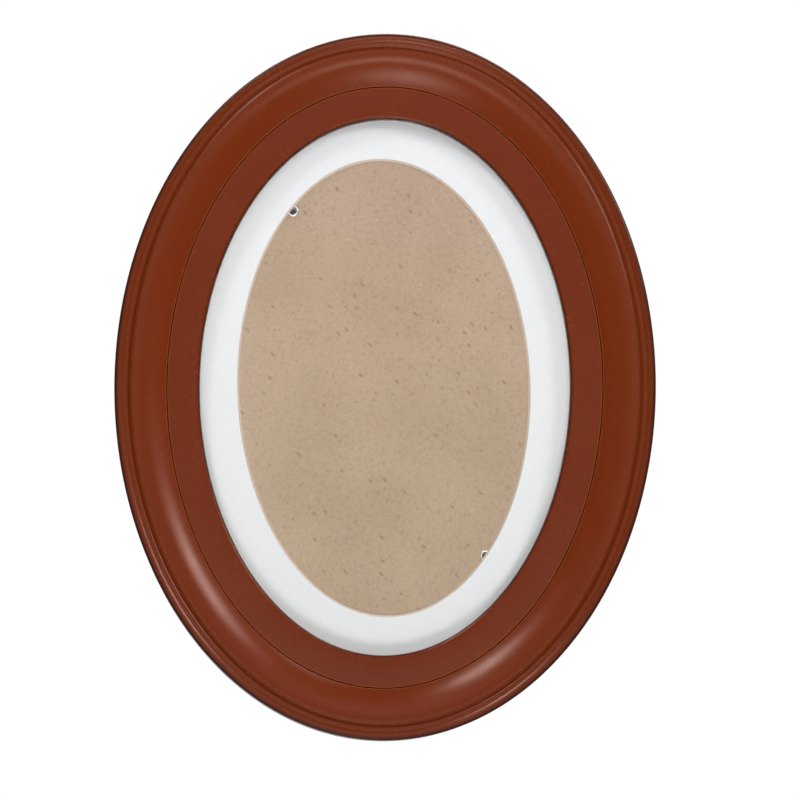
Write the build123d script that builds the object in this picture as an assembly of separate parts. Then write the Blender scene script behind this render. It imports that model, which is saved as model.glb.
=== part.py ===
from build123d import *
import math
import os

# Oval picture frame: a one-piece routed moulding, glass, mat, and a backing board
# held by four riveted turn tabs. Millimetres. Every piece is drawn lying face up,
# with the back plane at zero height and the long axis along Y, then hung upright.

# The oval, seen from the front
OVAL_WIDTH = 168.0
OVAL_HEIGHT = 220.0
MOULDING_WIDTH = 26.4
MOULDING_THICKNESS = 18.0

# Rim of the moulding: a rounded outer edge and two small stepped beads
BACK_ARRIS = 0.6
RIM_HEIGHT = 5.2
RIM_EDGE_RADIUS = 0.6
OUTER_BEAD_WIDTH = 2.7
OUTER_BEAD_RADIUS = 3.3
INNER_BEAD_WIDTH = 1.4
INNER_BEAD_RADIUS = 2.5
INNER_BEAD_START_TILT = 3.0

# Roll of the moulding: steep outer wall, tight shoulder, long inner slope
CROWN_OFFSET = 8.2
SHOULDER_RADIUS = 3.3
CROWN_RADIUS = 7.0
CROWN_TURN = 24.0
SLOPE_RADIUS = 23.0

# Quirk line between the roll and the flat band
QUIRK_OFFSET = 16.8
QUIRK_WIDTH = 0.5
QUIRK_DEPTH = 0.6
BAND_STEP = 0.3

# Sight edge and the lip that holds the glass
SIGHT_EDGE_RADIUS = 1.2
LIP_THICKNESS = 3.2
LIP_WIDTH = 6.0

# Sheets in the rabbet, front to back
SHEET_CLEARANCE = 0.5
GLASS_THICKNESS = 2.0
MAT_THICKNESS = 1.2
BOARD_THICKNESS = 3.0

# Window of the mat, cut a little askew, with a bevel that shows the cream core
MAT_BORDER = 12.5
WINDOW_BEVEL = 0.65
WINDOW_TURN = 2.1
WINDOW_SHIFT = -0.25

# Turn tabs, stamped from spring steel
TAB_THICKNESS = 0.7
TAB_PIVOT_RADIUS = 4.8
TAB_TIP_RADIUS = 3.0
TAB_REACH = 20.0
TAB_EDGE_ROUND = 0.15
TAB_TURNED_IN = 90.0
RIB_START = 6.6
RIB_LENGTH = 7.6
RIB_WIDTH = 2.6
RIB_WALL = 0.5
RIB_HEIGHT = 0.5

# Hand-set pivots of the tabs, as shares of the half sizes of the rabbet
tab_place_shares = {
    "upper_left": (-0.461, 0.615),
    "upper_right": (0.495, 0.612),
    "lower_left": (-0.495, -0.610),
    "lower_right": (0.505, -0.582),
}

# Slot in the rabbet wall that the tips of the tabs turn into
SLOT_DEPTH = 4.6
SLOT_CLEARANCE = 0.6

# Semi-tubular rivets that carry the tabs: domed head behind, bored tail curled in front
RIVET_SHANK_RADIUS = 1.5
RIVET_BORE_RADIUS = 1.15
RIVET_HEAD_RADIUS = 3.0
RIVET_HEAD_THICKNESS = 0.75
RIVET_HEAD_RIM = 0.25
RIVET_CURL_RADIUS = 1.85
RIVET_CURL_THICKNESS = 0.45
RIVET_CURL_ROUND = 0.3
RIVET_HOLE_CLEARANCE = 0.05

# Sawtooth hanger on the back of the moulding
HANGER_LENGTH = 42.0
HANGER_WIDTH = 9.5
HANGER_THICKNESS = 0.9
HANGER_STANDOFF = 1.6
HANGER_BRIDGE_LENGTH = 24.0
HANGER_JOGGLE_RUN = 2.2
HANGER_END_RADIUS = 3.0
HANGER_RIM_OFFSET = 10.5
TOOTH_PITCH = 3.0
TOOTH_DEPTH = 1.7
TOOTH_COUNT = 7

# Screws that fix the hanger
SCREW_INSET = 4.2
SCREW_SHANK_RADIUS = 0.95
SCREW_LENGTH = 8.0
SCREW_POINT_LENGTH = 1.8
SCREW_HEAD_RADIUS = 2.2
SCREW_HEAD_HEIGHT = 1.3
SCREW_HOLE_CLEARANCE = 0.1
SCREW_PILOT_CLEARANCE = 0.03

# Rubber pads that keep the lower edge off the wall
PAD_RADIUS = 4.6
PAD_EDGE_ROUND = 0.5
PAD_RIM_OFFSET = 10.5
PAD_ANGLE = 62.0

# How far every cutting body runs past the face that it cuts
OVERRUN = 1.0

half_width = OVAL_WIDTH / 2
half_height = OVAL_HEIGHT / 2
rabbet_offset = MOULDING_WIDTH - LIP_WIDTH
rabbet_half_width = half_width - rabbet_offset
rabbet_half_height = half_height - rabbet_offset


def tilt_point(centre, radius, tilt):
    """Point of a circle in the section where its face leans inward by tilt degrees."""
    lean = math.radians(tilt)
    return (centre[0] - radius * math.sin(lean), centre[1] + radius * math.cos(lean))


def tilt_at(centre, radius, x):
    """Lean in degrees of a circle in the section at the distance x."""
    return math.degrees(math.asin((centre[0] - x) / radius))


def tilt_arc(centre, radius, start_tilt, end_tilt):
    """Arc of the section from one lean of its face to another."""
    middle_tilt = (start_tilt + end_tilt) / 2
    tilts = (start_tilt, middle_tilt, end_tilt)
    return ThreePointArc(*[tilt_point(centre, radius, tilt) for tilt in tilts])


def rim_edges():
    """Outer side of the moulding and its two stepped beads, ending in the valley."""
    side_foot = (half_width, BACK_ARRIS)
    edge_centre = (half_width - RIM_EDGE_RADIUS, RIM_HEIGHT - RIM_EDGE_RADIUS)
    side_top = (half_width, edge_centre[1])
    outer_centre = (edge_centre[0], RIM_HEIGHT - OUTER_BEAD_RADIUS)
    outer_end = tilt_at(outer_centre, OUTER_BEAD_RADIUS, half_width - OUTER_BEAD_WIDTH)
    step = tilt_point(outer_centre, OUTER_BEAD_RADIUS, outer_end)
    start = math.radians(INNER_BEAD_START_TILT)
    inner_centre = (
        step[0] + INNER_BEAD_RADIUS * math.sin(start),
        step[1] - INNER_BEAD_RADIUS * math.cos(start),
    )
    inner_end = tilt_at(inner_centre, INNER_BEAD_RADIUS, step[0] - INNER_BEAD_WIDTH)
    valley = tilt_point(inner_centre, INNER_BEAD_RADIUS, inner_end)
    edges = [
        Line((half_width - BACK_ARRIS, 0), side_foot),
        Line(side_foot, side_top),
        tilt_arc(edge_centre, RIM_EDGE_RADIUS, -90, 0),
        tilt_arc(outer_centre, OUTER_BEAD_RADIUS, 0, outer_end),
        tilt_arc(inner_centre, INNER_BEAD_RADIUS, INNER_BEAD_START_TILT, inner_end),
    ]
    return edges, valley


def roll_edges(valley):
    """Steep wall, shoulder, crown and long inner slope of the roll."""
    crown_x = half_width - CROWN_OFFSET
    shoulder_centre = (crown_x, MOULDING_THICKNESS - SHOULDER_RADIUS)
    run = valley[0] - shoulder_centre[0]
    rise = shoulder_centre[1] - valley[1]
    wall_lean = math.atan2(run, rise) - math.asin(SHOULDER_RADIUS / math.hypot(run, rise))
    wall_tilt = math.degrees(wall_lean) - 90
    crown_centre = (crown_x, MOULDING_THICKNESS - CROWN_RADIUS)
    turn = math.radians(CROWN_TURN)
    slope_centre = (
        crown_centre[0] + (SLOPE_RADIUS - CROWN_RADIUS) * math.sin(turn),
        crown_centre[1] - (SLOPE_RADIUS - CROWN_RADIUS) * math.cos(turn),
    )
    slope_end_x = half_width - QUIRK_OFFSET + QUIRK_WIDTH / 2
    slope_tilt = tilt_at(slope_centre, SLOPE_RADIUS, slope_end_x)
    edges = [
        Line(valley, tilt_point(shoulder_centre, SHOULDER_RADIUS, wall_tilt)),
        tilt_arc(shoulder_centre, SHOULDER_RADIUS, wall_tilt, 0),
        tilt_arc(crown_centre, CROWN_RADIUS, 0, CROWN_TURN),
        tilt_arc(slope_centre, SLOPE_RADIUS, CROWN_TURN, slope_tilt),
    ]
    return edges, tilt_point(slope_centre, SLOPE_RADIUS, slope_tilt)


rim, rim_valley = rim_edges()
roll, roll_foot = roll_edges(rim_valley)
band_height = roll_foot[1] - BAND_STEP
glass_front = band_height - LIP_THICKNESS
glass_back = glass_front - GLASS_THICKNESS
mat_back = glass_back - MAT_THICKNESS
board_back = mat_back - BOARD_THICKNESS
tab_back = board_back - TAB_THICKNESS
slot_top = board_back + SLOT_CLEARANCE
slot_bottom = tab_back - SLOT_CLEARANCE
bridge_back = HANGER_STANDOFF + HANGER_THICKNESS
hanger_y = half_height - HANGER_RIM_OFFSET
notch_y = hanger_y - HANGER_WIDTH / 2 + TOOTH_DEPTH
notch_z = -HANGER_STANDOFF - HANGER_THICKNESS / 2
screw_x = HANGER_LENGTH / 2 - SCREW_INSET


def band_edges():
    """Quirk, flat band and rounded sight edge, down to the seat of the glass."""
    sight_x = half_width - MOULDING_WIDTH
    quirk_x = half_width - QUIRK_OFFSET
    quirk_end = (quirk_x - QUIRK_WIDTH / 2, band_height)
    edge_centre = (sight_x + SIGHT_EDGE_RADIUS, band_height - SIGHT_EDGE_RADIUS)
    quirk_bottom = (quirk_x, band_height - QUIRK_DEPTH)
    return [
        Line(roll_foot, quirk_bottom),
        Line(quirk_bottom, quirk_end),
        Line(quirk_end, (edge_centre[0], band_height)),
        tilt_arc(edge_centre, SIGHT_EDGE_RADIUS, 0, 90),
        Line((sight_x, edge_centre[1]), (sight_x, glass_front)),
    ]


def rabbet_edges():
    """Seat of the glass, rabbet wall with the slot for the tabs, and the back face."""
    sight_x = half_width - MOULDING_WIDTH
    slot_x = rabbet_half_width + SLOT_DEPTH
    return Polyline(
        (sight_x, glass_front),
        (rabbet_half_width, glass_front),
        (rabbet_half_width, slot_top),
        (slot_x, slot_top),
        (slot_x, slot_bottom),
        (rabbet_half_width, slot_bottom),
        (rabbet_half_width, 0),
        (half_width - BACK_ARRIS, 0),
    ).edges()


def make_moulding_ring():
    """Moulding of one section, swept round the oval, with pilot holes for the screws."""
    outline = rim + roll + band_edges() + list(rabbet_edges())
    section = Plane.XZ * make_face(outline)
    middle = MOULDING_WIDTH / 2
    path = Wire([Edge.make_ellipse(half_width - middle, half_height - middle)])
    ring = sweep(section, path=path)
    pilot = Cylinder(
        SCREW_SHANK_RADIUS + SCREW_PILOT_CLEARANCE,
        SCREW_LENGTH + OVERRUN,
        align=(Align.CENTER, Align.CENTER, Align.MIN),
    )
    for x in (-screw_x, screw_x):
        ring -= Pos(x, hanger_y, -OVERRUN - HANGER_THICKNESS) * pilot
    return ring


def oval_sheet(thickness, back):
    """Oval sheet that drops into the rabbet with a little room."""
    outline = Ellipse(rabbet_half_width - SHEET_CLEARANCE, rabbet_half_height - SHEET_CLEARANCE)
    return Pos(0, 0, back) * extrude(outline, thickness)


def make_glass_pane():
    """Clear glass on the seat behind the lip."""
    return oval_sheet(GLASS_THICKNESS, glass_back)


def make_mat_board():
    """Mat with its oval window, wider in front, where the bevel shows the core."""
    slope = WINDOW_BEVEL / MAT_THICKNESS
    window_half_width = half_width - MOULDING_WIDTH - MAT_BORDER
    window_half_height = half_height - MOULDING_WIDTH - MAT_BORDER
    sections = []
    for z in (-OVERRUN, MAT_THICKNESS + OVERRUN):
        grow = z * slope
        oval = Ellipse(window_half_width + grow, window_half_height + grow)
        sections.append(Pos(WINDOW_SHIFT, 0, mat_back + z) * Rot(0, 0, WINDOW_TURN) * oval)
    window = loft(sections)
    return oval_sheet(MAT_THICKNESS, mat_back) - window


def tab_pivot(corner):
    """Centre of the rivet that a tab turns on."""
    share_x, share_y = tab_place_shares[corner]
    return share_x * rabbet_half_width, share_y * rabbet_half_height


def tab_outward(corner):
    """Way from a tab's pivot straight out to the rabbet wall, in degrees."""
    share_x, share_y = tab_place_shares[corner]
    return math.degrees(math.atan2(share_y / rabbet_half_height, share_x / rabbet_half_width))


def make_backing_board():
    """Fibreboard back with a hole and a sunk front seat for each rivet."""
    board = oval_sheet(BOARD_THICKNESS, board_back)
    bottom_align = (Align.CENTER, Align.CENTER, Align.MIN)
    hole = Cylinder(
        RIVET_SHANK_RADIUS + RIVET_HOLE_CLEARANCE,
        BOARD_THICKNESS + 2 * OVERRUN,
        align=bottom_align,
    )
    seat = Cylinder(
        RIVET_CURL_RADIUS + RIVET_HOLE_CLEARANCE,
        RIVET_CURL_THICKNESS + OVERRUN,
        align=bottom_align,
    )
    for corner in tab_place_shares:
        x, y = tab_pivot(corner)
        board -= Pos(x, y, board_back - OVERRUN) * hole
        board -= Pos(x, y, mat_back - RIVET_CURL_THICKNESS) * seat
    return board


def make_turn_tab(corner):
    """Stamped tab with a pressed rib, turned in to lie along the edge of the board."""
    x, y = tab_pivot(corner)
    side = 1 if x * y < 0 else -1
    tip_centre = TAB_REACH - TAB_TIP_RADIUS
    flank = math.acos((TAB_PIVOT_RADIUS - TAB_TIP_RADIUS) / tip_centre)
    root = (TAB_PIVOT_RADIUS * math.cos(flank), TAB_PIVOT_RADIUS * math.sin(flank))
    tip = (tip_centre + TAB_TIP_RADIUS * math.cos(flank), TAB_TIP_RADIUS * math.sin(flank))
    outline = make_face(
        [
            Line(root, tip),
            ThreePointArc(tip, (TAB_REACH, 0), (tip[0], -tip[1])),
            Line((tip[0], -tip[1]), (root[0], -root[1])),
            ThreePointArc((root[0], -root[1]), (-TAB_PIVOT_RADIUS, 0), root),
        ]
    )
    tab = Pos(0, 0, -TAB_THICKNESS) * extrude(outline, TAB_THICKNESS)
    rib_middle = RIB_START + RIB_LENGTH / 2
    rib = extrude(SlotOverall(RIB_LENGTH, RIB_WIDTH), -RIB_HEIGHT)
    hollow = extrude(SlotOverall(RIB_LENGTH - 2 * RIB_WALL, RIB_WIDTH - 2 * RIB_WALL), -RIB_HEIGHT)
    tab = fillet(tab.edges(), TAB_EDGE_ROUND)
    tab += Pos(rib_middle, 0, -TAB_THICKNESS) * rib
    tab -= Pos(rib_middle, 0) * hollow
    tab -= Cylinder(RIVET_SHANK_RADIUS + RIVET_HOLE_CLEARANCE, TAB_THICKNESS * 2 + OVERRUN)
    turn = tab_outward(corner) + side * TAB_TURNED_IN
    return Pos(x, y, board_back) * Rot(0, 0, turn) * tab


def make_tab_rivet(corner):
    """Rivet: domed head over the tab, shank, and a bored tail curled into the board's front."""
    x, y = tab_pivot(corner)
    head_front = tab_back - RIVET_HOLE_CLEARANCE
    head_back = head_front - RIVET_HEAD_THICKNESS
    rim_back = head_front - RIVET_HEAD_RIM
    curl_back = mat_back - RIVET_CURL_THICKNESS
    dome_rise = RIVET_HEAD_THICKNESS - RIVET_HEAD_RIM
    dome_radius = (RIVET_HEAD_RADIUS**2 + dome_rise**2) / (2 * dome_rise)
    outline = Polyline(
        (RIVET_HEAD_RADIUS, rim_back),
        (RIVET_HEAD_RADIUS, head_front),
        (RIVET_SHANK_RADIUS, head_front),
        (RIVET_SHANK_RADIUS, curl_back),
        (RIVET_CURL_RADIUS, curl_back),
        (RIVET_CURL_RADIUS, mat_back),
        (RIVET_BORE_RADIUS, mat_back),
        (RIVET_BORE_RADIUS, head_front),
        (0, head_front),
        (0, head_back),
    ).edges()
    dome = RadiusArc((RIVET_HEAD_RADIUS, rim_back), (0, head_back), dome_radius)
    profile = make_face(list(outline) + [dome])
    profile = fillet(profile.vertices().group_by(Axis.Y)[-1], RIVET_CURL_ROUND)
    return Pos(x, y, 0) * revolve(Plane.XZ * profile, Axis.Z)


def make_sawtooth_hanger():
    """Steel strip with two fixing feet and a raised bridge with teeth along its lower edge."""
    bridge_x = HANGER_BRIDGE_LENGTH / 2
    foot_x = bridge_x + HANGER_JOGGLE_RUN
    end_x = HANGER_LENGTH / 2
    front = [
        (-end_x, 0),
        (-foot_x, 0),
        (-bridge_x, -HANGER_STANDOFF),
        (bridge_x, -HANGER_STANDOFF),
        (foot_x, 0),
        (end_x, 0),
    ]
    back = [(x, z - HANGER_THICKNESS) for x, z in reversed(front)]
    side_view = Plane.XZ * make_face(Polyline(*front, *back, close=True))
    strip = Pos(0, HANGER_WIDTH / 2, 0) * extrude(side_view, HANGER_WIDTH)
    plan = Pos(0, 0, -bridge_back - OVERRUN) * extrude(
        RectangleRounded(HANGER_LENGTH, HANGER_WIDTH, HANGER_END_RADIUS), bridge_back + 2 * OVERRUN
    )
    strip &= plan
    lower = -HANGER_WIDTH / 2
    slope = TOOTH_PITCH / 2 / TOOTH_DEPTH
    notch_face = make_face(
        Polyline(
            (0, lower + TOOTH_DEPTH),
            (slope * (TOOTH_DEPTH + OVERRUN), lower - OVERRUN),
            (-slope * (TOOTH_DEPTH + OVERRUN), lower - OVERRUN),
            close=True,
        )
    )
    notch = Pos(0, 0, -bridge_back - OVERRUN) * extrude(notch_face, HANGER_THICKNESS + 2 * OVERRUN)
    for index in range(TOOTH_COUNT):
        strip -= Pos((index - (TOOTH_COUNT - 1) / 2) * TOOTH_PITCH, 0) * notch
    for x in (-screw_x, screw_x):
        strip -= Pos(x, 0) * Cylinder(
            SCREW_SHANK_RADIUS + SCREW_HOLE_CLEARANCE, HANGER_THICKNESS * 2 + OVERRUN
        )
    return Pos(0, hanger_y, 0) * strip


def make_hanger_screw(x):
    """Round-headed wood screw with a plain shank."""
    head_front = -HANGER_THICKNESS
    head_back = head_front - SCREW_HEAD_HEIGHT
    tip = head_front + SCREW_LENGTH
    dome_radius = (SCREW_HEAD_RADIUS**2 + SCREW_HEAD_HEIGHT**2) / (2 * SCREW_HEAD_HEIGHT)
    outline = [
        Line((0, head_back), (0, tip)),
        Line((0, tip), (SCREW_SHANK_RADIUS, tip - SCREW_POINT_LENGTH)),
        Line((SCREW_SHANK_RADIUS, tip - SCREW_POINT_LENGTH), (SCREW_SHANK_RADIUS, head_front)),
        Line((SCREW_SHANK_RADIUS, head_front), (SCREW_HEAD_RADIUS, head_front)),
        RadiusArc((SCREW_HEAD_RADIUS, head_front), (0, head_back), dome_radius),
    ]
    return Pos(x, hanger_y, 0) * revolve(Plane.XZ * make_face(outline), Axis.Z)


def make_bumper_pad(side):
    """Round rubber pad, level with the back of the hanger."""
    angle = math.radians(PAD_ANGLE)
    x = side * (half_width - PAD_RIM_OFFSET) * math.cos(angle)
    y = -(half_height - PAD_RIM_OFFSET) * math.sin(angle)
    pad = extrude(Circle(PAD_RADIUS), -bridge_back)
    back_edge = pad.edges().sort_by(Axis.Z)[0]
    return Pos(x, y, 0) * fillet(back_edge, PAD_EDGE_ROUND)


def hang(shape):
    """Stand the frame upright with the middle notch of the hanger at the origin."""
    return Rot(90, 0, 0) * (Pos(0, -notch_y, -notch_z) * shape)


def build_parts():
    """Every piece of the frame under its own name."""
    parts = {
        "moulding_ring": make_moulding_ring(),
        "glass_pane": make_glass_pane(),
        "mat_board": make_mat_board(),
        "backing_board": make_backing_board(),
        "sawtooth_hanger": make_sawtooth_hanger(),
        "hanger_screw_left": make_hanger_screw(-screw_x),
        "hanger_screw_right": make_hanger_screw(screw_x),
        "bumper_pad_left": make_bumper_pad(-1),
        "bumper_pad_right": make_bumper_pad(1),
    }
    for corner in tab_place_shares:
        parts["turn_tab_" + corner] = make_turn_tab(corner)
        parts["tab_rivet_" + corner] = make_tab_rivet(corner)
    return parts


os.makedirs("parts", exist_ok=True)
for name, shape in build_parts().items():
    export_step(hang(shape), "parts/" + name + ".step")
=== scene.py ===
import math

import bmesh
import bpy
from mathutils import Matrix, Vector


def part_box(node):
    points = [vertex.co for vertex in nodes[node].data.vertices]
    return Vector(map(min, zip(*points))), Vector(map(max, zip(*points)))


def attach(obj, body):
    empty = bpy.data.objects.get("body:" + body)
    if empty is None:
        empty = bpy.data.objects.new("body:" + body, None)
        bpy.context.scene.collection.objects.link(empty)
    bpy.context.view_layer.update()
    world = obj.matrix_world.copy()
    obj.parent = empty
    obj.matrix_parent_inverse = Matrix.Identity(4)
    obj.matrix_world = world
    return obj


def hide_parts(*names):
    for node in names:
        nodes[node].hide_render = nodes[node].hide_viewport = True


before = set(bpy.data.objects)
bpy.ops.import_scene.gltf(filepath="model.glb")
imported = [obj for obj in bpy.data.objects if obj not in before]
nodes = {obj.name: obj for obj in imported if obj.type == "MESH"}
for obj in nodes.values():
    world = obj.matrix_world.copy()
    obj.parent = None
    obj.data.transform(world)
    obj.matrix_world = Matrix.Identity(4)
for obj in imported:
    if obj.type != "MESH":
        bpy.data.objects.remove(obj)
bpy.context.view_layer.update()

# Oval picture frame, hung upright: +Z up, the glass faces -Y, +X to the right from
# the front. The origin is the middle notch of the hanger. Sizes here are in
# millimetres on the frame lying face up, and hung() turns them to metres.

MM = 0.001
HALF_WIDTH = 84.0
HALF_HEIGHT = 110.0
MOULDING_WIDTH = 26.4
THICKNESS = 18.0
LIP_WIDTH = 6.0
SEAT_HEIGHT = 10.44
GLASS_THICKNESS = 2.0
MAT_THICKNESS = 1.2
BOARD_THICKNESS = 3.0
NOTCH_UP = 96.45
NOTCH_BACK = 2.05
SHEET_ROOM = 0.5
MIDDLE_OUT = 11.0
CENTRE = Vector((0.0, -MIDDLE_OUT * MM, -NOTCH_UP * MM))

# The section's arcs: radius, and the lean or the offset from the outline where each ends.
# The rim starts level with the roll and the two beads fall only a millimetre from it, so
# that light from across the oval reaches them.
BACK_ARRIS = 0.6
EDGE_RADIUS = 0.9
OUTER_BEAD_RADIUS, OUTER_BEAD_START, OUTER_BEAD_END = 3.4, 8.0, 2.6
INNER_BEAD_RADIUS, INNER_BEAD_START, VALLEY = 1.9, -14.0, 4.2
SHOULDER_RADIUS, CROWN = 1.2, 5.7
CROWN_RADIUS, CROWN_TURN = 12.0, 21.5
SLOPE_RADIUS = 23.0
QUIRK, QUIRK_HALF_WIDTH, QUIRK_DEPTH, BAND_STEP = 16.2, 0.25, 0.6, 0.3
SIGHT_RADIUS = 1.2
SLOT_DEPTH, SLOT_ROOM, TAB_THICKNESS = 4.6, 0.6, 0.7

# Points on the section's straight runs, which keep its shading flat there.
SIDE_LOW, SIDE_HIGH = 3.0, 15.0
BAND_START, BAND_MIDDLE = QUIRK + 0.5, 20.0
BACK_INNER, BACK_OUTER = 9.0, 4.0

WALL_TONE = "732d0c"
SLOPE_TONE = "7b2d07"
BAND_TONE = "712a09"
THIN_TONE = "783210"
# Painted shade on the lacquer, at its edges and in its valleys, the quirk and the seat.
PAINTED_SHADE_TONE = "2c0e08"
LACQUER_SPECULAR = 0.5
LACQUER_SHEEN = "f6d8cc"
# Orange of rubbed lacquer on the arrises, which also stands for a painted highlight there.
RUBBED_AND_HIGHLIGHT_TONE = "b5683a"
# Spans of painted shade towards the outer edge and towards the sight edge.
OUTER_EDGE_PAINTED_SHADE = (EDGE_RADIUS + 0.7, 0.4)
SIGHT_EDGE_PAINTED_SHADE = (MOULDING_WIDTH - 0.9, MOULDING_WIDTH - 0.1)
MAT_TONE = "f8f8fb"
MAT_TOOTH_TONE = "fcfcfe"
# Painted shade in the rivets' bores.
BORE_PAINTED_SHADE_TONE = "4a4947"
BORE_RADIUS, BORE_BLEND = 1.12, 0.1
TAB_RUB_REACH = 17.2


def hung(x, y, z):
    """Point of the lying frame, in metres on the hung one."""
    return Vector((x * MM, -(z + NOTCH_BACK) * MM, (y - NOTCH_UP) * MM))


# Materials

def colour(code):
    """Linear colour of an sRGB hex value."""
    parts = [int(code[i:i + 2], 16) / 255 for i in (0, 2, 4)]
    return [p / 12.92 if p <= 0.04045 else ((p + 0.055) / 1.055) ** 2.4 for p in parts] + [1.0]


def feed(tree, node, inputs):
    """Set a node's inputs, each to a value, or to the socket or node that drives it."""
    for key, value in inputs.items():
        if isinstance(value, bpy.types.Node):
            value = next(socket for socket in value.outputs if socket.enabled)
        if isinstance(value, bpy.types.NodeSocket):
            tree.links.new(value, node.inputs[key])
        else:
            node.inputs[key].default_value = value


def add(tree, kind, inputs=None, **settings):
    """Node with its settings and its inputs."""
    node = tree.nodes.new(kind)
    for name, value in settings.items():
        setattr(node, name, value)
    feed(tree, node, inputs or {})
    return node


def start_finish(name, **sockets):
    """Material with its plain shader sockets set, its tree, its shader and Object coordinates."""
    material = bpy.data.materials.new(name)
    material.use_nodes = True
    tree = material.node_tree
    surface = tree.nodes["Principled BSDF"]
    feed(tree, surface, {socket.replace("_", " "): value for socket, value in sockets.items()})
    place = add(tree, "ShaderNodeTexCoord").outputs["Object"]
    return material, tree, surface, place


def laid_over(tree, under, over, cover, low, high, strength=1.0):
    """Tone laid over another where the cover goes from low to high, up to the strength."""
    limits = {"Value": cover, "From Min": low, "From Max": high, "To Max": strength}
    share = add(tree, "ShaderNodeMapRange", limits, interpolation_type="SMOOTHSTEP")
    return add(tree, "ShaderNodeMix", {"Factor": share, 6: under, 7: over}, data_type="RGBA")


def lacquer_tone(tree, place, inset, mark):
    """Tone of the lacquer: a little lighter down the roll's inner slope, in faint clouds,
    rubbed orange with a painted highlight on arrises, and painted shade in the valleys and towards
    both of its edges."""
    clouds = add(tree, "ShaderNodeTexNoise", {"Vector": place, "Scale": 1 / (30 * MM), "Detail": 2.0})
    drift = add(tree, "ShaderNodeMath", {0: clouds, 1: 3.0, 2: inset}, operation="MULTIPLY_ADD")
    tone = laid_over(tree, colour(WALL_TONE), colour(SLOPE_TONE), drift, 6.0, 15.5)
    tone = laid_over(tree, tone, colour(BAND_TONE), inset, QUIRK - 0.1, QUIRK + 0.2)
    tone = laid_over(tree, tone, colour(THIN_TONE), clouds, 0.45, 0.75, 0.35)
    # Rubbed lacquer and a painted highlight on the arrises.
    tone = laid_over(tree, tone, colour(RUBBED_AND_HIGHLIGHT_TONE), mark, 0.25, 1.0, 0.85)
    # Painted shade towards the outer edge and the sight edge, then in the valleys, the quirk and the
    # seat.
    tone = laid_over(tree, tone, colour(PAINTED_SHADE_TONE), inset, *OUTER_EDGE_PAINTED_SHADE, 0.8)
    tone = laid_over(tree, tone, colour(PAINTED_SHADE_TONE), inset, *SIGHT_EDGE_PAINTED_SHADE, 0.85)
    return laid_over(tree, tone, colour(PAINTED_SHADE_TONE), mark, -0.2, -1.0, 0.85)


def make_lacquer():
    """Pigmented lacquer over fibreboard, sprayed and rubbed to a semi-gloss: opaque
    reddish brown with no grain, a little orange peel, wide soft highlights."""
    material, tree, surface, place = start_finish(
        "sprayed_brown_lacquer", IOR=1.5, Specular_IOR_Level=LACQUER_SPECULAR,
        Specular_Tint=colour(LACQUER_SHEEN),
    )
    inset = add(tree, "ShaderNodeAttribute", attribute_name="inset").outputs["Fac"]
    mark = add(tree, "ShaderNodeAttribute", attribute_name="mark").outputs["Fac"]
    rub = add(tree, "ShaderNodeTexNoise", {"Vector": place, "Scale": 1 / (9 * MM), "Detail": 5.0})
    limits = {"Value": rub, "From Min": 0.3, "From Max": 0.7, "To Min": 0.24, "To Max": 0.29}
    peel = add(tree, "ShaderNodeTexNoise", {"Vector": place, "Scale": 1 / (1.6 * MM), "Detail": 2.0})
    feed(tree, surface, {
        "Base Color": lacquer_tone(tree, place, inset, mark),
        "Roughness": add(tree, "ShaderNodeMapRange", limits),
        "Normal": add(tree, "ShaderNodeBump", {"Height": peel, "Distance": 0.004 * MM}),
    })
    return material


def fibre_tone(tree, place, light, dark, speck):
    """Tone of pressed wood fibre: soft clouds, fine felt, short strokes of bark of all
    sizes, drawn only where a stroke's middle lies near the surface, and pale chips."""
    clouds = add(tree, "ShaderNodeTexNoise", {"Vector": place, "Scale": 1 / (28 * MM), "Detail": 3.0})
    felt = add(tree, "ShaderNodeTexNoise", {"Vector": place, "Scale": 1 / (0.9 * MM), "Detail": 4.0})
    tone = laid_over(tree, dark, light, clouds, 0.3, 0.7)
    tone = laid_over(tree, tone, speck, felt, 0.42, 0.8, 0.3)
    for turn, size, strength in ((20, 2.4, 0.4), (75, 1.8, 0.3), (135, 3.2, 0.6), (160, 1.3, 0.25)):
        stroke = {"Vector": place, "Location": [turn * MM] * 3, "Rotation": (0, math.radians(turn), 0)}
        stroke["Scale"] = (1, 1, 2.2)
        along = add(tree, "ShaderNodeMapping", stroke, vector_type="TEXTURE")
        middle = add(tree, "ShaderNodeTexVoronoi", {"Vector": along, "Scale": 1 / (size * MM)})
        tone = laid_over(tree, tone, speck, middle, 0.17, 0.06, strength)
    chips = add(tree, "ShaderNodeTexVoronoi", {"Vector": place, "Scale": 1 / (6 * MM)})
    return laid_over(tree, tone, colour("d9c4a8"), chips, 0.11, 0.03, 0.4)


def make_moulding_back():
    """The moulding's own fibreboard, cut and left raw behind, with lacquer that drifted
    round the edge while it was sprayed."""
    material, tree, surface, place = start_finish(
        "raw_fibreboard_with_overspray", Roughness=0.8, Specular_IOR_Level=0.25
    )
    inset = add(tree, "ShaderNodeAttribute", attribute_name="inset").outputs["Fac"]
    raw = fibre_tone(tree, place, colour("b3946f"), colour("9f8060"), colour("6d5238"))
    drift = add(tree, "ShaderNodeTexNoise", {"Vector": place, "Scale": 1 / (3.5 * MM), "Detail": 5.0})
    reach = add(tree, "ShaderNodeMath", {0: drift, 1: 7.0, 2: inset}, operation="MULTIPLY_ADD")
    fibres = add(tree, "ShaderNodeTexNoise", {"Vector": place, "Scale": 1 / (0.5 * MM), "Detail": 4.0})
    feed(tree, surface, {
        "Base Color": laid_over(tree, raw, colour(WALL_TONE), reach, 8.4, 3.4),
        "Normal": add(tree, "ShaderNodeBump", {"Height": fibres, "Distance": 0.03 * MM}),
    })
    return material


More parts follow.
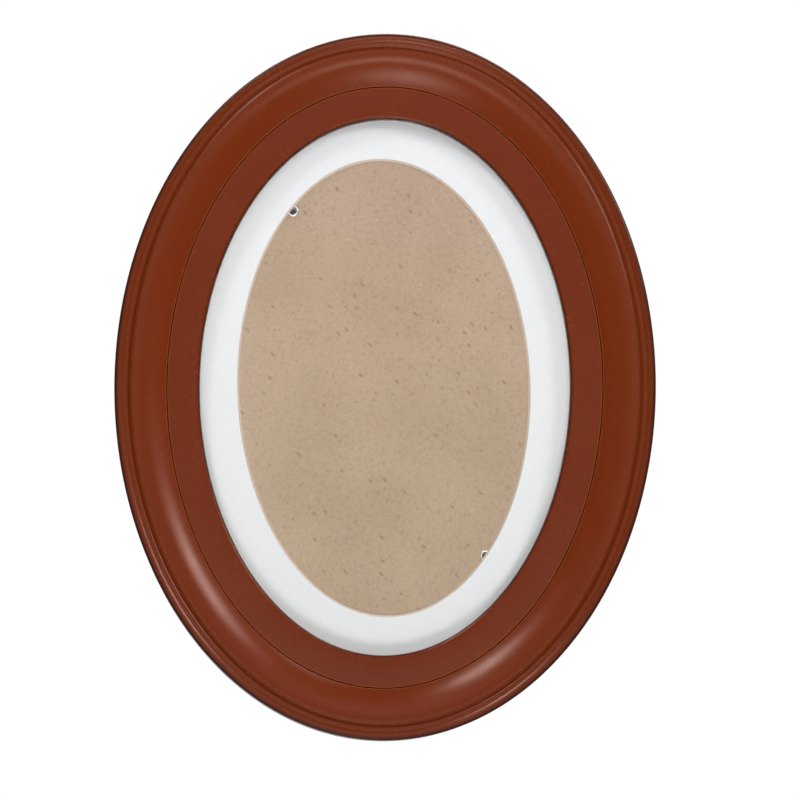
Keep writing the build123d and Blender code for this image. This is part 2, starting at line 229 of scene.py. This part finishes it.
def make_panel_board(pivots):
    """Thin fibreboard panel: smooth pressed tan face with specks and short fibres; behind,
    faint arcs where the tabs have rubbed about their pivots."""
    material, tree, surface, place = start_finish(
        "pressed_fibreboard_panel", Roughness=0.75, Specular_IOR_Level=0.3
    )
    tone = fibre_tone(tree, place, colour("c6aa8f"), colour("bda186"), colour("8a6c50"))
    facing = add(tree, "ShaderNodeTexCoord").outputs["Normal"]
    behind = add(tree, "ShaderNodeSeparateXYZ", {"Vector": facing}).outputs["Y"]
    for pivot in pivots:
        reach = add(tree, "ShaderNodeVectorMath", {0: place, 1: pivot}, operation="DISTANCE")
        off_arc = add(tree, "ShaderNodeMath", {0: reach, 1: TAB_RUB_REACH * MM}, operation="SUBTRACT")
        off_arc = add(tree, "ShaderNodeMath", {0: off_arc}, operation="ABSOLUTE")
        rubbed = add(tree, "ShaderNodeMapRange", {
            "Value": off_arc, "From Min": 1.0 * MM, "From Max": 1.8 * MM,
            "To Min": 1.0, "To Max": 0.0,
        })
        rubbed = add(tree, "ShaderNodeMath", {0: rubbed, 1: behind}, operation="MULTIPLY")
        tone = laid_over(tree, tone, colour("8d8377"), rubbed, 0.1, 1.0, 0.4)
    press = add(tree, "ShaderNodeTexNoise", {"Vector": place, "Scale": 1 / (0.45 * MM), "Detail": 4.0})
    feed(tree, surface, {
        "Base Color": tone,
        "Normal": add(tree, "ShaderNodeBump", {"Height": press, "Distance": 0.012 * MM}),
    })
    return material


def make_mat_paper():
    """White faced mat board: fine paper tooth, and a cream core where the window is bevelled."""
    material, tree, surface, place = start_finish(
        "white_mat_with_cream_core", Roughness=0.85, Specular_IOR_Level=0.2
    )
    facing = add(tree, "ShaderNodeTexCoord").outputs["Normal"]
    flat = add(tree, "ShaderNodeSeparateXYZ", {"Vector": facing}).outputs["Y"]
    flat = add(tree, "ShaderNodeMath", {0: flat}, operation="ABSOLUTE")
    tooth = add(tree, "ShaderNodeTexNoise", {"Vector": place, "Scale": 1 / (0.6 * MM), "Detail": 4.0})
    face = laid_over(tree, colour(MAT_TONE), colour(MAT_TOOTH_TONE), tooth, 0.3, 0.7)
    core = laid_over(tree, colour("f2e4d8"), colour("e8d6c6"), tooth, 0.3, 0.7)
    feed(tree, surface, {
        "Base Color": laid_over(tree, core, face, flat, 0.7, 0.9),
        "Normal": add(tree, "ShaderNodeBump", {"Height": tooth, "Distance": 0.01 * MM}),
    })
    return material


def make_glass():
    """Clear polished float glass with the faintest wiping marks. Light and shadow pass it
    with no bending, so that the mat behind stays evenly lit."""
    material, tree, surface, place = start_finish(
        "float_glass", IOR=1.5, Transmission_Weight=1.0, Base_Color=colour("ffffff")
    )
    strokes = {"Vector": place, "Rotation": (0, 0.6, 0), "Scale": (1, 1, 6)}
    along = add(tree, "ShaderNodeMapping", strokes, vector_type="TEXTURE")
    wipe = add(tree, "ShaderNodeTexNoise", {"Vector": along, "Scale": 1 / (12 * MM), "Detail": 3.0})
    limits = {"Value": wipe, "From Min": 0.5, "From Max": 0.8, "To Min": 0.008, "To Max": 0.03}
    feed(tree, surface, {"Roughness": add(tree, "ShaderNodeMapRange", limits)})
    clear = add(tree, "ShaderNodeBsdfTransparent", {"Color": colour("fcfdfc")})
    path = add(tree, "ShaderNodeLightPath").outputs
    rays = {0: path["Is Shadow Ray"], 1: path["Is Diffuse Ray"]}
    through = add(tree, "ShaderNodeMath", rays, operation="MAXIMUM")
    mixed = add(tree, "ShaderNodeMixShader", {0: through, 1: surface, 2: clear})
    feed(tree, tree.nodes["Material Output"], {"Surface": mixed})
    return material


def edge_wear(tree, radius_mm):
    """Value that is 1 on a flat and less towards a sharp edge, and the rounded edge's normal."""
    rounded = add(tree, "ShaderNodeBevel", {"Radius": radius_mm * MM}, samples=6)
    flat = add(tree, "ShaderNodeNewGeometry").outputs["True Normal"]
    along = add(tree, "ShaderNodeVectorMath", {0: rounded, 1: flat}, operation="DOT_PRODUCT")
    return along, rounded


def make_plated_steel(name, bright, dull, rolled, roughness, bores=()):
    """Stamped strip steel with a thin bright plating: fine rolling lines along the strip,
    dull clouds, and plating rubbed brighter on the edges. Shade is painted dark into the
    bores about the given points."""
    material, tree, surface, place = start_finish(name, Metallic=1.0)
    clouds = add(tree, "ShaderNodeTexNoise", {"Vector": place, "Scale": 1 / (3 * MM), "Detail": 4.0})
    strip = {"Vector": place, "Rotation": (0, rolled, 0), "Scale": (1, 1, 12)}
    along = add(tree, "ShaderNodeMapping", strip, vector_type="TEXTURE")
    grain = add(tree, "ShaderNodeTexNoise", {"Vector": along, "Scale": 1 / (0.4 * MM), "Detail": 3.0})
    wear, rounded = edge_wear(tree, 0.25)
    tone = laid_over(tree, colour(bright), colour(dull), clouds, 0.35, 0.7)
    tone = laid_over(tree, tone, colour(dull), grain, 0.55, 0.75, 0.35)
    tone = laid_over(tree, tone, colour("eeece6"), wear, 0.99, 0.82, 0.6)
    facing = add(tree, "ShaderNodeTexCoord").outputs["Normal"]
    facing = add(tree, "ShaderNodeSeparateXYZ", {"Vector": facing}).outputs["Y"]
    behind = add(tree, "ShaderNodeMath", {0: facing, 1: 0.0}, operation="MAXIMUM")
    flat = add(tree, "ShaderNodeVectorMath", {0: place, 1: (1, 0, 1)}, operation="MULTIPLY")
    bore_start, bore_full = BORE_RADIUS * MM, (BORE_RADIUS - BORE_BLEND) * MM
    # Painted shade in each bore, on the faces that don't look behind.
    for bore in bores:
        ends = {0: flat, 1: (bore.x, 0, bore.z)}
        reach = add(tree, "ShaderNodeVectorMath", ends, operation="DISTANCE")
        reach = add(tree, "ShaderNodeMath", {0: reach, 1: behind}, operation="ADD")
        tone = laid_over(tree, tone, colour(BORE_PAINTED_SHADE_TONE), reach, bore_start, bore_full)
    limits = {"Value": grain, "From Min": 0.3, "From Max": 0.7}
    limits.update({"To Min": roughness, "To Max": roughness + 0.14})
    lines = {"Height": grain, "Distance": 0.006 * MM, "Normal": rounded}
    feed(tree, surface, {
        "Base Color": tone,
        "Roughness": add(tree, "ShaderNodeMapRange", limits),
        "Normal": add(tree, "ShaderNodeBump", lines),
    })
    return material


def make_rubber():
    """Moulded black rubber: matt, lightly dusty, greyer on its rounded edge."""
    material, tree, surface, place = start_finish("moulded_rubber", IOR=1.5)
    wear, rounded = edge_wear(tree, 0.4)
    dust = add(tree, "ShaderNodeTexNoise", {"Vector": place, "Scale": 1 / (1.5 * MM), "Detail": 5.0})
    skin = add(tree, "ShaderNodeTexNoise", {"Vector": place, "Scale": 1 / (0.35 * MM), "Detail": 3.0})
    tone = laid_over(tree, colour("2b2a29"), colour("4a4744"), dust, 0.45, 0.75, 0.6)
    limits = {"Value": dust, "From Min": 0.3, "From Max": 0.7, "To Min": 0.5, "To Max": 0.75}
    texture = {"Height": skin, "Distance": 0.02 * MM, "Normal": rounded}
    feed(tree, surface, {
        "Base Color": laid_over(tree, tone, colour("5b5854"), wear, 0.99, 0.82, 0.4),
        "Roughness": add(tree, "ShaderNodeMapRange", limits),
        "Normal": add(tree, "ShaderNodeBump", texture),
    })
    return material


def middle_of(node_name):
    """Middle of a CAD node's box."""
    low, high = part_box(node_name)
    return (Vector(low) + Vector(high)) / 2


corners = ("upper_left", "upper_right", "lower_left", "lower_right")
tab_pivots = [middle_of("tab_rivet_" + corner) for corner in corners]

lacquer = make_lacquer()
moulding_back = make_moulding_back()
panel_board = make_panel_board(tab_pivots)
mat_paper = make_mat_paper()
float_glass = make_glass()
zinc_plate = make_plated_steel("zinc_plated_strip_steel", "c9cbcd", "a9acb0", 0.0, 0.26)
nickel_plate = make_plated_steel(
    "nickel_plated_rivet_steel", "d6d3cc", "b9b6ae", 0.7, 0.2, tab_pivots
)
spring_plate = make_plated_steel("plated_spring_steel", "b9b7b1", "97958f", 0.9, 0.3)
rubber = make_rubber()


# Moulding

def lean_point(centre, radius, lean):
    """Point of a circle in the section where its face leans inward by lean degrees."""
    turn = math.radians(lean)
    return (centre[0] + radius * math.sin(turn), centre[1] + radius * math.cos(turn))


def lean_at(centre, radius, offset):
    """Lean of a circle in the section at an offset from the outline."""
    return math.degrees(math.asin((offset - centre[0]) / radius))


def lean_arc(centre, radius, start, end, steps, end_mark=0.0):
    """Points of an arc of the section, both ends included, with a mark on the last."""
    arc = []
    for i in range(steps + 1):
        mark = end_mark if i == steps else 0.0
        arc.append((*lean_point(centre, radius, start + (end - start) * i / steps), mark))
    return arc


def tangent_centre(start, radius, lean):
    """Centre of an arc of the section that begins at a point with a lean in degrees."""
    turn = math.radians(lean)
    return (start[0] - radius * math.sin(turn), start[1] - radius * math.cos(turn))


def moulding_section():
    """Closed section as (offset inward from the outline, height, mark), from the back arris
    over the front to the seat and round the rabbet, and how many points are lacquered. The
    mark is above 0 on a rubbed arris, where a highlight is painted, and below 0 where shade
    is painted in a valley, the quirk and the seat."""
    edge = (EDGE_RADIUS, THICKNESS - EDGE_RADIUS)
    edge_end = lean_point(edge, EDGE_RADIUS, OUTER_BEAD_START)
    outer = tangent_centre(edge_end, OUTER_BEAD_RADIUS, OUTER_BEAD_START)
    outer_end = lean_at(outer, OUTER_BEAD_RADIUS, OUTER_BEAD_END)
    step = lean_point(outer, OUTER_BEAD_RADIUS, outer_end)
    inner = tangent_centre(step, INNER_BEAD_RADIUS, INNER_BEAD_START)
    inner_end = lean_at(inner, INNER_BEAD_RADIUS, VALLEY)
    valley = lean_point(inner, INNER_BEAD_RADIUS, inner_end)
    shoulder = (CROWN, THICKNESS - SHOULDER_RADIUS)
    run, rise = shoulder[0] - valley[0], shoulder[1] - valley[1]
    wall_turn = math.atan2(run, rise) - math.asin(SHOULDER_RADIUS / math.hypot(run, rise))
    wall = math.degrees(wall_turn) - 90
    top = (CROWN, THICKNESS - CROWN_RADIUS)
    slope = tangent_centre(lean_point(top, CROWN_RADIUS, CROWN_TURN), SLOPE_RADIUS, CROWN_TURN)
    slope_end = lean_at(slope, SLOPE_RADIUS, QUIRK - QUIRK_HALF_WIDTH)
    band = lean_point(slope, SLOPE_RADIUS, slope_end)[1] - BAND_STEP
    sight = (MOULDING_WIDTH - SIGHT_RADIUS, band - SIGHT_RADIUS)
    board_back = SEAT_HEIGHT - GLASS_THICKNESS - MAT_THICKNESS - BOARD_THICKNESS
    slot_front, slot_back = board_back + SLOT_ROOM, board_back - TAB_THICKNESS - SLOT_ROOM
    rabbet = MOULDING_WIDTH - LIP_WIDTH
    points = [(0.0, BACK_ARRIS, 0.0), (0.0, SIDE_LOW, 0.0), (0.0, SIDE_HIGH, 0.0)]
    points += lean_arc(edge, EDGE_RADIUS, -90, OUTER_BEAD_START, 6)
    # Marks below 0 paint shade; marks above 0 paint rubbed orange with a highlight.
    points += lean_arc(outer, OUTER_BEAD_RADIUS, OUTER_BEAD_START, outer_end, 12, end_mark=-0.5)[1:]
    points += lean_arc(inner, INNER_BEAD_RADIUS, INNER_BEAD_START, inner_end, 12, end_mark=-0.6)[1:]
    points += lean_arc(shoulder, SHOULDER_RADIUS, wall, 0, 12)
    points += lean_arc(top, CROWN_RADIUS, 0, CROWN_TURN, 12)[1:]
    points += lean_arc(slope, SLOPE_RADIUS, CROWN_TURN, slope_end, 24, end_mark=1.0)[1:]
    points += [(QUIRK, band - QUIRK_DEPTH, -1.0), (QUIRK + QUIRK_HALF_WIDTH, band, 0.9)]
    points += [(BAND_START, band, 0.0), (BAND_MIDDLE, band, 0.0)]
    points += lean_arc(sight, SIGHT_RADIUS, 0, 90, 10, end_mark=-0.5)
    points += [(MOULDING_WIDTH, SEAT_HEIGHT, -1.0)]
    front_count = len(points)
    points += [
        (rabbet, SEAT_HEIGHT, 0.0),
        (rabbet, slot_front, 0.0),
        (rabbet - SLOT_DEPTH, slot_front, 0.0),
        (rabbet - SLOT_DEPTH, slot_back, 0.0),
        (rabbet, slot_back, 0.0),
        (rabbet, 0.0, 0.0),
        (BACK_INNER, 0.0, 0.0),
        (BACK_OUTER, 0.0, 0.0),
        (BACK_ARRIS, 0.0, 0.0),
    ]
    return points, front_count


def finished_piece(mesh, name):
    """Object of a bmesh, at the origin."""
    data = bpy.data.meshes.new(name)
    mesh.to_mesh(data)
    mesh.free()
    piece = bpy.data.objects.new(name, data)
    bpy.context.collection.objects.link(piece)
    return piece


def sweep_round(points, front_count, name, steps=320):
    """Closed section spun round a circle, then drawn out to the oval with its width kept."""
    middle = MOULDING_WIDTH / 2
    spin_radius = 100.0
    mesh = bmesh.new()
    mark_layer = mesh.verts.layers.float.new("mark")
    inset_layer = mesh.verts.layers.float.new("inset")
    raw_layer = mesh.verts.layers.float.new("raw")
    corner_verts = []
    for i, (offset, height, mark) in enumerate(points):
        vert = mesh.verts.new((spin_radius - offset, 0, height))
        vert[mark_layer] = mark
        vert[inset_layer] = offset
        vert[raw_layer] = 0.0 if i < front_count else 1.0
        corner_verts.append(vert)
    following = corner_verts[1:] + corner_verts[:1]
    edges = [mesh.edges.new(pair) for pair in zip(corner_verts, following)]
    bmesh.ops.spin(
        mesh, geom=corner_verts + edges, cent=(0, 0, 0), axis=(0, 0, 1),
        angle=math.tau, steps=steps, use_merge=True,
    )
    half_width, half_height = HALF_WIDTH - middle, HALF_HEIGHT - middle
    for vert in mesh.verts:
        turn = math.atan2(vert.co.y, vert.co.x)
        out = Vector((math.cos(turn) / half_width, math.sin(turn) / half_height))
        out.normalize()
        past = math.hypot(vert.co.x, vert.co.y) - spin_radius + middle
        x = half_width * math.cos(turn) + past * out.x
        y = half_height * math.sin(turn) + past * out.y
        vert.co = hung(x, y, vert.co.z)
    bmesh.ops.recalc_face_normals(mesh, faces=mesh.faces)
    for face in mesh.faces:
        face.smooth = True
        face.material_index = 1 if any(vert[raw_layer] > 0.5 for vert in face.verts) else 0
    for edge in mesh.edges:
        edge.smooth = edge.calc_face_angle(0) < math.radians(28)
    return finished_piece(mesh, name)


def fit(piece, node_name, body, slot, *materials):
    """Dress a piece, let it stand for a CAD node and ride on a body."""
    for material in materials:
        piece.data.materials.append(material)
    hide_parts(node_name)
    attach(piece, body)


section, front_count = moulding_section()
moulding = sweep_round(section, front_count, "routed_moulding")
fit(moulding, "moulding_ring", "moulding", "lacquered_moulding", lacquer, moulding_back)


# Glass

def oval_pane(half_width, half_height, back, front, chamfer, name):
    """Oval pane with ground edges between two heights of the lying frame."""
    mesh = bmesh.new()
    bmesh.ops.create_circle(mesh, cap_ends=True, segments=256, radius=1.0)
    bmesh.ops.scale(mesh, verts=mesh.verts, vec=(half_width, half_height, 1))
    lifted = bmesh.ops.extrude_face_region(mesh, geom=mesh.faces[:])
    top = [item for item in lifted["geom"] if isinstance(item, bmesh.types.BMVert)]
    bmesh.ops.translate(mesh, verts=top, vec=(0, 0, front - back))
    bmesh.ops.recalc_face_normals(mesh, faces=mesh.faces)
    rims = []
    for edge in mesh.edges:
        if abs(edge.verts[0].co.z - edge.verts[1].co.z) < chamfer / 2:
            rims.append(edge)
    bmesh.ops.bevel(
        mesh, geom=rims, offset=chamfer, segments=1, profile=0.5, affect="EDGES", material=-1,
        clamp_overlap=True,
    )
    for vert in mesh.verts:
        vert.co = hung(vert.co.x, vert.co.y, vert.co.z + back)
    bmesh.ops.recalc_face_normals(mesh, faces=mesh.faces)
    return finished_piece(mesh, name)


GLASS_GAP = 0.04
GLASS_CHAMFER = 0.25
pane = oval_pane(
    HALF_WIDTH - MOULDING_WIDTH + LIP_WIDTH - SHEET_ROOM,
    HALF_HEIGHT - MOULDING_WIDTH + LIP_WIDTH - SHEET_ROOM,
    SEAT_HEIGHT - GLASS_THICKNESS + GLASS_GAP,
    SEAT_HEIGHT - GLASS_GAP,
    GLASS_CHAMFER,
    "ground_edge_glass",
)
fit(pane, "glass_pane", "moulding", "clear_glass", float_glass)


# Hanger screws

HANGER_THICKNESS = 0.9
SCREW_ASIDE, SCREW_DOWN = 16.8, 10.5
HEAD_RADIUS, HEAD_HEIGHT = 2.2, 1.3
CORE_RADIUS, THREAD_RADIUS = 0.7, 0.95
CORE_LENGTH, POINT_LENGTH = 6.2, 1.8
THREAD_START, THREAD_RUN, THREAD_TURNS, THREAD_STEPS = 2.2, 4.6, 5, 160
THREAD_ROOT, THREAD_HALF_WIDTH = 0.66, 0.25
RECESS_WIDTH, RECESS_SPREAD, RECESS_DEPTH = 0.55, 2.5, 1.0


def turned(profile, steps):
    """Mesh of a profile of (radius, height) spun about its axis."""
    mesh = bmesh.new()
    points = [mesh.verts.new((radius, 0, height)) for radius, height in profile]
    edges = [mesh.edges.new(pair) for pair in zip(points, points[1:])]
    bmesh.ops.spin(
        mesh, geom=points + edges, cent=(0, 0, 0), axis=(0, 0, 1),
        angle=math.tau, steps=steps, use_merge=True,
    )
    bmesh.ops.remove_doubles(mesh, verts=mesh.verts, dist=0.001)
    bmesh.ops.recalc_face_normals(mesh, faces=mesh.faces)
    return mesh


def cut_recess(blank, width, spread, depth):
    """Cross recess, narrower at its floor, cut into the head of a screw at the lower end of
    its axis."""
    blank_object = finished_piece(blank, "screw_blank")
    for turn in (0, math.pi / 2):
        cutter_mesh = bmesh.new()
        bmesh.ops.create_cube(cutter_mesh, size=1.0)
        bmesh.ops.scale(cutter_mesh, verts=cutter_mesh.verts, vec=(spread, width, depth))
        for vert in cutter_mesh.verts:
            if vert.co.z > 0:
                vert.co.x *= 0.45
                vert.co.y *= 0.7
        quarter = Matrix.Rotation(turn, 3, "Z")
        bmesh.ops.rotate(cutter_mesh, verts=cutter_mesh.verts, matrix=quarter)
        bmesh.ops.translate(cutter_mesh, verts=cutter_mesh.verts, vec=(0, 0, depth / 2 - 0.001))
        cutter = finished_piece(cutter_mesh, "recess_cutter")
        cut = blank_object.modifiers.new("recess", "BOOLEAN")
        cut.operation = "DIFFERENCE"
        cut.solver = "EXACT"
        cut.object = cutter
    bpy.context.view_layer.update()
    shaped = blank_object.evaluated_get(bpy.context.evaluated_depsgraph_get())
    mesh = bmesh.new()
    mesh.from_mesh(shaped.to_mesh())
    for name in ("recess_cutter", "recess_cutter.001", "screw_blank"):
        data = bpy.data.objects[name].data
        bpy.data.objects.remove(bpy.data.objects[name])
        bpy.data.meshes.remove(data)
    return mesh


def hanger_screw(x, name):
    """Round-headed wood screw with a cross recess and a cut thread, head down."""
    dome_radius = (HEAD_RADIUS ** 2 + HEAD_HEIGHT ** 2) / (2 * HEAD_HEIGHT)
    profile = [(0, 0)]
    for i in range(1, 11):
        radius = HEAD_RADIUS * i / 10
        profile.append((radius, dome_radius - math.sqrt(dome_radius ** 2 - radius ** 2)))
    core_end = HEAD_HEIGHT + CORE_LENGTH
    profile += [(HEAD_RADIUS - 0.12, HEAD_HEIGHT), (CORE_RADIUS, HEAD_HEIGHT)]
    profile += [(CORE_RADIUS - 0.02, core_end), (0, core_end + POINT_LENGTH)]
    mesh = cut_recess(turned(profile, 48), RECESS_WIDTH, RECESS_SPREAD, RECESS_DEPTH)
    ridge = [
        mesh.verts.new((THREAD_ROOT, 0, THREAD_START)),
        mesh.verts.new((THREAD_RADIUS, 0, THREAD_START + THREAD_HALF_WIDTH)),
        mesh.verts.new((THREAD_ROOT, 0, THREAD_START + 2 * THREAD_HALF_WIDTH)),
    ]
    edges = [mesh.edges.new(pair) for pair in zip(ridge, ridge[1:])]
    bmesh.ops.spin(
        mesh, geom=ridge + edges, cent=(0, 0, 0), axis=(0, 0, 1),
        angle=math.tau * THREAD_TURNS, steps=THREAD_STEPS, dvec=(0, 0, THREAD_RUN / THREAD_STEPS),
    )
    down, lift = HALF_HEIGHT - SCREW_DOWN, -HANGER_THICKNESS - HEAD_HEIGHT
    for vert in mesh.verts:
        vert.co = hung(vert.co.x + x, vert.co.y + down, vert.co.z + lift)
    bmesh.ops.recalc_face_normals(mesh, faces=mesh.faces)
    for face in mesh.faces:
        face.smooth = True
    for edge in mesh.edges:
        edge.smooth = edge.calc_face_angle(0) < math.radians(35)
    return finished_piece(mesh, name)


for side, side_name in ((-1, "left"), (1, "right")):
    screw = hanger_screw(side * SCREW_ASIDE, "cross_recess_screw_" + side_name)
    fit(screw, "hanger_screw_" + side_name, "moulding", "zinc_steel", nickel_plate)


# Pieces carried over from the CAD model

finishes = {
    "mat_board": mat_paper,
    "backing_board": panel_board,
    "sawtooth_hanger": zinc_plate,
    "bumper_pad_left": rubber,
    "bumper_pad_right": rubber,
}
for corner in corners:
    finishes["turn_tab_" + corner] = spring_plate
    finishes["tab_rivet_" + corner] = nickel_plate
for node_name, finish in finishes.items():
    for slot in nodes[node_name].material_slots:
        slot.material = finish


# Camera, on a long lens, a little to the left of the frame's middle and below it.
# TARGET_PIXEL is where that middle falls in the picture.

AZIMUTH = math.radians(1.6)
ELEVATION = math.radians(-5.0)
ROLL = math.radians(0.6)
DISTANCE = 1.5
PICTURE_PIXELS = 800
PIXELS_PER_MM = 3.208
TARGET_PIXEL = (384.8, 387.3)

away = Vector((
    -math.sin(AZIMUTH) * math.cos(ELEVATION),
    -math.cos(AZIMUTH) * math.cos(ELEVATION),
    math.sin(ELEVATION),
))
level_right = (-away).cross(Vector((0, 0, 1))).normalized()
level_up = level_right.cross(-away)
camera_right = math.cos(ROLL) * level_right + math.sin(ROLL) * level_up
camera_up = math.cos(ROLL) * level_up - math.sin(ROLL) * level_right
camera_place = CENTRE + DISTANCE * away
aside, below = [(PICTURE_PIXELS / 2 - pixel) / PIXELS_PER_MM * MM for pixel in TARGET_PIXEL]
aim = CENTRE + camera_right * aside - camera_up * below
backward = (camera_place - aim).normalized()
across = camera_up.cross(backward).normalized()
upward = backward.cross(across)
camera_data = bpy.data.cameras.new("camera")
camera = bpy.data.objects.new("camera", camera_data)
bpy.context.collection.objects.link(camera)
turned_to_aim = Matrix((across, upward, backward)).transposed().to_4x4()
camera.matrix_world = Matrix.Translation(camera_place) @ turned_to_aim
camera_data.sensor_width = 36.0
camera_data.lens = camera_data.sensor_width * PIXELS_PER_MM * DISTANCE / MM / PICTURE_PIXELS
camera_data.clip_start = 0.01
bpy.context.scene.camera = camera


# Light

def soft_light(
    name, azimuth, lean, distance, width, height, power, mirrored=True, aim_up=0.0, spread=180
):
    """Rectangular softbox turned to the frame's middle, or to a point above it. azimuth is
    measured on the picture, anticlockwise from the right, and lean is how far off the
    frame's axis it stands, both in degrees. Lengths are in metres and power in watts. One
    that isn't mirrored only fills, with no highlight."""
    around, off = math.radians(azimuth), math.radians(lean)
    way = Vector((
        math.sin(off) * math.cos(around),
        -math.cos(off),
        math.sin(off) * math.sin(around),
    ))
    data = bpy.data.lights.new(name, "AREA")
    data.shape = "RECTANGLE"
    data.size = width
    data.size_y = height
    data.energy = power
    data.spread = math.radians(spread)
    lamp = bpy.data.objects.new(name, data)
    bpy.context.collection.objects.link(lamp)
    lamp.location = CENTRE + Vector((0, 0, aim_up)) + distance * way
    lamp.rotation_euler = (-way).to_track_quat("-Z", "Y").to_euler()
    lamp.visible_glossy = mirrored


GRID_AIM_UP = 0.085
GRID_SPREAD = 34

soft_light("upper_right_key", 33, 54, 1.3, 0.3, 0.3, 3.8)
soft_light("upper_left_key", 121, 57, 1.3, 0.3, 0.3, 3.8)
soft_light("overhead_strip", 80, 106, 0.7, 1.0, 0.4, 6.0)
soft_light("low_grid", 264, 50, 0.5, 0.9, 0.2, 0.08, aim_up=GRID_AIM_UP, spread=GRID_SPREAD)
soft_light("low_front_grid", 270, 14, 1.0, 0.5, 0.16, 0.05, aim_up=GRID_AIM_UP, spread=GRID_SPREAD)
soft_light("low_fill", 270, 44, 1.3, 0.6, 0.4, 4.6, mirrored=False)
soft_light("front_fill", 90, 30, 1.0, 0.5, 0.4, 2.2, mirrored=False)


def studio_world(room_level):
    """White behind the object for the camera, through glass and in metal seen edge on, and
    a plain dim room everywhere else."""
    world = bpy.data.worlds.new("studio")
    bpy.context.scene.world = world
    world.use_nodes = True
    sky = world.node_tree
    sky.nodes.clear()
    path = add(sky, "ShaderNodeLightPath").outputs
    way = add(sky, "ShaderNodeTexCoord").outputs["Generated"]
    behind = add(sky, "ShaderNodeSeparateXYZ", {"Vector": way}).outputs["Y"]
    behind = add(sky, "ShaderNodeMapRange", {"Value": behind, "From Min": 0.93, "From Max": 0.99})
    mirrored = add(sky, "ShaderNodeMath", {0: path["Is Glossy Ray"], 1: behind}, operation="MULTIPLY")
    seen = add(sky, "ShaderNodeMath", {0: path["Is Camera Ray"], 1: mirrored}, operation="MAXIMUM")
    seen = add(sky, "ShaderNodeMath", {0: path["Is Transmission Ray"], 1: seen}, operation="MAXIMUM")
    room = add(sky, "ShaderNodeBackground", {"Color": (1, 1, 1, 1), "Strength": room_level})
    white = add(sky, "ShaderNodeBackground", {"Color": (1, 1, 1, 1), "Strength": 1.0})
    both = add(sky, "ShaderNodeMixShader", {0: seen, 1: room, 2: white})
    add(sky, "ShaderNodeOutputWorld", {"Surface": both})


ROOM_LEVEL = 0.15
studio_world(ROOM_LEVEL)


# Floor, and the round reflector that the glass mirrors

def staged_disc(name, radius, segments):
    """Flat disc about the origin, for the studio."""
    mesh = bmesh.new()
    bmesh.ops.create_circle(mesh, cap_ends=True, segments=segments, radius=radius)
    disc = finished_piece(mesh, name)
    return disc


def make_floor_paint():
    """Pale matt studio floor, with faint scuffs."""
    material, tree, surface, place = start_finish("pale_floor_paint", Roughness=0.9)
    scuffs = add(tree, "ShaderNodeTexNoise", {"Vector": place, "Scale": 1 / (120 * MM), "Detail": 4.0})
    tone = laid_over(tree, colour("ececec"), colour("f2f2f2"), scuffs, 0.3, 0.7)
    feed(tree, surface, {"Base Color": tone})
    return material


FLOOR_RADIUS = 1.6
FLOOR_LEVEL = -1.25
REFLECTOR_RADIUS = 0.6
REFLECTOR_PLACE = (0.108, -1.3, 0.696)

floor = staged_disc("floor", FLOOR_RADIUS, 64)
floor.location = (0, 0, FLOOR_LEVEL)
floor.data.materials.append(make_floor_paint())

reflector = staged_disc("round_reflector", REFLECTOR_RADIUS, 128)
reflector.location = REFLECTOR_PLACE
reflector.rotation_euler = (math.radians(90), 0, 0)
reflector.visible_camera = False
reflector.visible_diffuse = False
reflector.visible_shadow = False
reflector_cloth = start_finish(
    "lit_reflector_cloth", Base_Color=colour("000000"), Emission_Color=colour("e6dcff"),
    Emission_Strength=0.6,
)[0]
reflector.data.materials.append(reflector_cloth)

bpy.context.scene.view_settings.view_transform = "Standard"
